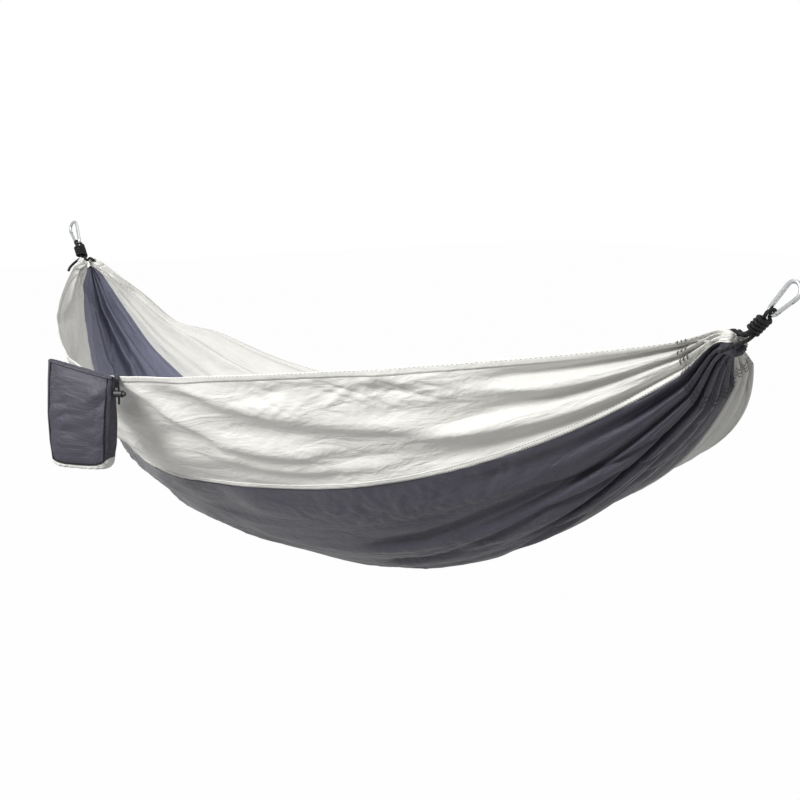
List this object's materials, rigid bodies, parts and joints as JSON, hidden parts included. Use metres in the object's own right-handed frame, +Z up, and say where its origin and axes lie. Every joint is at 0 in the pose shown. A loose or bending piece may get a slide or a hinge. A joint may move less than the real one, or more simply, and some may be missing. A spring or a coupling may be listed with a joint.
{
  "type": "camping hammock",
  "caption": "Gathered-end camping hammock of light and dark cloth panels on rope slings with snap hooks and a sewn-on stuff sack.",
  "frame": {"origin": "left hang point: where the tree strap bears inside the left hook's basket", "axes": "+X to the right hang point, +Y to the far side of the bed, +Z up"},
  "size_m": [2.4701, 1.296, 0.6622],
  "materials": {
    "light_cloth": "satin nylon",
    "dark_cloth": "satin nylon",
    "sack_cloth": "satin nylon",
    "rope": "braided",
    "hook_steel": "polished",
    "spring_steel": "drawn wire",
    "black_plastic": "matte"
  },
  "bodies": {
    "hooks": {"left_hook_body": "hook_steel", "right_hook_body": "hook_steel", "left_hinge_pin": "hook_steel", "right_hinge_pin": "hook_steel"},
    "left_gate": {"left_hook_gate": "hook_steel", "left_gate_spring": "spring_steel"},
    "right_gate": {"right_hook_gate": "hook_steel", "right_gate_spring": "spring_steel"},
    "left_plunger": {"left_push_pin": "spring_steel"},
    "right_plunger": {"right_push_pin": "spring_steel"},
    "bed": {"near_side_panel": "light_cloth", "centre_panel": "dark_cloth", "far_side_panel": "light_cloth", "left_end_sleeve": "dark_cloth", "right_end_sleeve": "dark_cloth", "left_rope": "rope", "right_rope": "rope", "sack_tab": "sack_cloth"},
    "sack": {"sack_body": "sack_cloth", "sack_base": "light_cloth", "sack_mouth_hem": "sack_cloth", "sack_piping": "rope", "sack_drawcord": "rope"},
    "cord_lock": {"lock_barrel": "black_plastic", "lock_spring": "spring_steel"},
    "lock_button": {"lock_plunger": "black_plastic"}
  },
  "joints": [
    {"name": "left_gate_hinge", "type": "hinge", "parent": "hooks", "child": "left_gate", "pos_m": [0.03075, -0.00955, -0.04494], "axis": [0, 0.9781, -0.2079], "range_deg": [0, 28], "stiffness_Nm_per_rad": 0.25, "springref_deg": -17.19},
    {"name": "right_gate_hinge", "type": "hinge", "parent": "hooks", "child": "right_gate", "pos_m": [2.41601, -0.00955, -0.04494], "axis": [0, 0.9781, -0.2079], "range_deg": [-28, 0], "stiffness_Nm_per_rad": 0.25, "springref_deg": 17.19},
    {"name": "left_push_pin_slide", "type": "slide", "parent": "left_gate", "child": "left_plunger", "axis": [-0.794, 0.1264, 0.5946], "range_m": [0, 0.00071]},
    {"name": "right_push_pin_slide", "type": "slide", "parent": "right_gate", "child": "right_plunger", "axis": [0.794, 0.1264, 0.5946], "range_m": [0, 0.00071]},
    {"name": "bed_swing", "type": "hinge", "parent": "hooks", "child": "bed", "pos_m": [1.22338, -0.01017, -0.04785], "axis": [1, 0, 0], "range_deg": [-25, 25]},
    {"name": "sack_swing", "type": "hinge", "parent": "bed", "child": "sack", "pos_m": [1.23938, -0.66067, -0.21065], "axis": [0.866, 0.5, 0], "range_deg": [-65, 0]},
    {"name": "cord_lock_slide", "type": "slide", "parent": "sack", "child": "cord_lock", "axis": [0, 0, 1], "range_m": [-0.012, 0.003]},
    {"name": "cord_lock_press", "type": "slide", "parent": "cord_lock", "child": "lock_button", "axis": [-0.866, -0.5, 0], "range_m": [0, 0.003], "stiffness_N_per_m": 800, "springref_m": -0.002}
  ],
  "couplings": [
    {"joint": "left_push_pin_slide", "follows": "left_gate_hinge", "m_per_rad": 0.001432},
    {"joint": "right_push_pin_slide", "follows": "right_gate_hinge", "m_per_rad": -0.001432}
  ]
}
